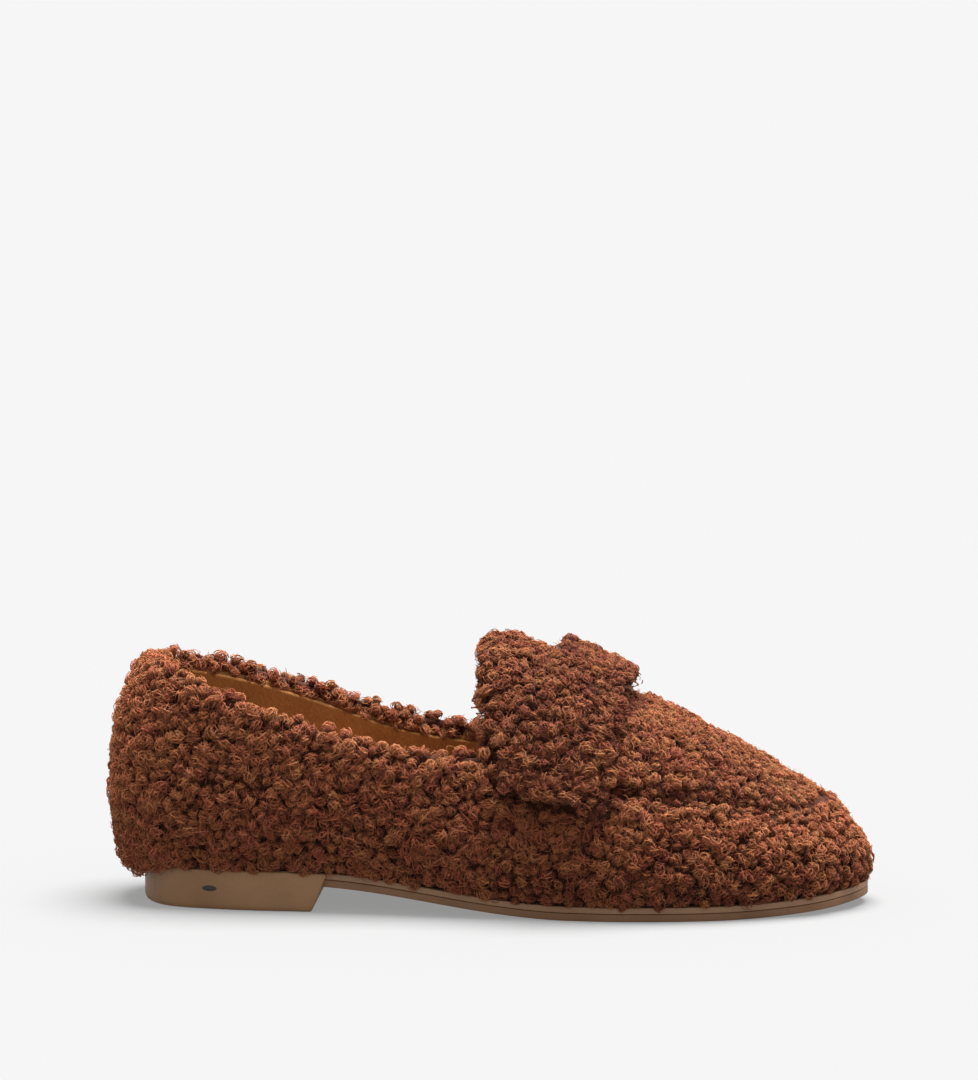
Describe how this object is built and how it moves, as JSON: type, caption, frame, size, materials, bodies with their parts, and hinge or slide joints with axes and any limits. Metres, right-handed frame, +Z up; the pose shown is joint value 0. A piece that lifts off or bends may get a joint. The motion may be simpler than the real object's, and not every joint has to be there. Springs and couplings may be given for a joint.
{
  "type": "slipper",
  "caption": "Moccasin-style house slipper in curly pile, with a lined low collar, a saddle strap, a tongue that lifts and a low moulded heel.",
  "frame": {"origin": "middle of the heel's ground face, on the ground", "axes": "+X from heel to toe, +Y to the inner side of the foot, +Z up"},
  "size_m": [0.2646, 0.0958, 0.0969],
  "materials": {
    "pile": "deep curly pile, matt, brown",
    "lining": "soft brushed lining, mustard tan",
    "heel_rubber": "moulded rubber, satin, tan",
    "tread_rubber": "moulded rubber, satin, darker tan",
    "midsole": "moulded rubber, satin, tan",
    "board": "fibreboard",
    "cork": "pressed cork",
    "foam": "soft foam",
    "stiffener": "resin-stiffened felt",
    "steel": "plain steel"
  },
  "bodies": {
    "shoe": {"heel_block": "heel_rubber", "outsole": "tread_rubber", "midsole": "midsole", "bottom_filler": "cork", "shank": "steel", "heel_nail_1": "steel", "heel_nail_2": "steel", "heel_nail_3": "steel", "heel_nail_4": "steel", "heel_nail_5": "steel", "insole_board": "board", "heel_pad": "foam", "sock_lining": "lining", "quarter_lining_outer": "lining", "quarter_lining_inner": "lining", "heel_counter": "stiffener", "topline_tape_outer": "stiffener", "topline_tape_inner": "stiffener", "vamp_lining": "lining", "toe_puff": "stiffener", "quarter_outer": "pile", "quarter_inner": "pile", "vamp": "pile", "apron": "pile", "strap_backing": "lining", "saddle_strap": "pile"},
    "tongue": {"tongue": "pile", "tongue_lining": "lining"}
  },
  "joints": [
    {"name": "tongue_lift", "type": "hinge", "parent": "shoe", "child": "tongue", "pos_m": [0.1145, 0, 0.0875], "axis": [0, 1, 0], "range_deg": [0, 20], "stiffness_Nm_per_rad": 0.05}
  ]
}
